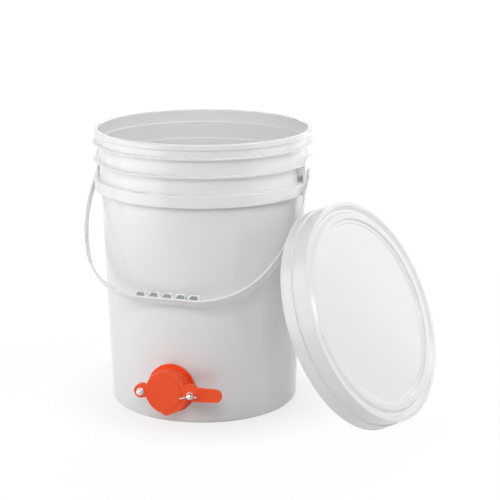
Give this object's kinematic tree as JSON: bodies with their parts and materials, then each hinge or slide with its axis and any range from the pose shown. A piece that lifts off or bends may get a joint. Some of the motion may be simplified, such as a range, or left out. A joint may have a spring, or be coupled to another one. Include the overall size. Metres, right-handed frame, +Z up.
{
  "type": "honey bucket with gate",
  "caption": "White plastic honey pail with a swinging bail handle, a snap lid leaning at its side, and an orange swing gate with a wing nut near its foot.",
  "frame": {"origin": "on the floor, under the middle of the pail", "axes": "+Z up along the pail's axis, -Y out of the gate, +X towards the ear beside the lid"},
  "size_m": [0.474, 0.3406, 0.38],
  "materials": {
    "white_plastic": "smooth moulded, satin gloss",
    "orange_plastic": "moulded, soft gloss",
    "seal_rubber": "matt",
    "plated_steel": "bright plated"
  },
  "bodies": {
    "pail": {"pail": "white_plastic", "gate_body": "orange_plastic", "outer_gasket": "seal_rubber", "inner_gasket": "seal_rubber", "gate_ring_nut": "orange_plastic", "pivot_bolt": "plated_steel", "pivot_washer": "plated_steel", "pivot_nut": "plated_steel", "lock_bolt": "plated_steel", "lock_washer": "plated_steel"},
    "bail": {"bail_handle": "white_plastic"},
    "flap": {"gate_flap": "orange_plastic"},
    "wing_nut": {"wing_nut": "plated_steel"},
    "lid": {"lid": "white_plastic", "lid_gasket": "seal_rubber"}
  },
  "joints": [
    {"name": "bail_swing", "type": "hinge", "parent": "pail", "child": "bail", "pos_m": [0, 0, 0.321], "axis": [-1, 0, 0], "range_deg": [0, 270.4]},
    {"name": "flap_swing", "type": "hinge", "parent": "pail", "child": "flap", "pos_m": [-0.0355, -0.1563, 0.05], "axis": [0, -1, 0], "range_deg": [0, 110]},
    {"name": "wing_nut_turn", "type": "hinge", "parent": "pail", "child": "wing_nut", "pos_m": [0.034, -0.162, 0.051], "axis": [0, -1, 0], "range_deg": [0, 360]},
    {"name": "lid_lift", "type": "slide", "parent": "pail", "child": "lid", "axis": [0.8843, -0.2237, 0.4099], "range_m": [0, 0.35]}
  ]
}
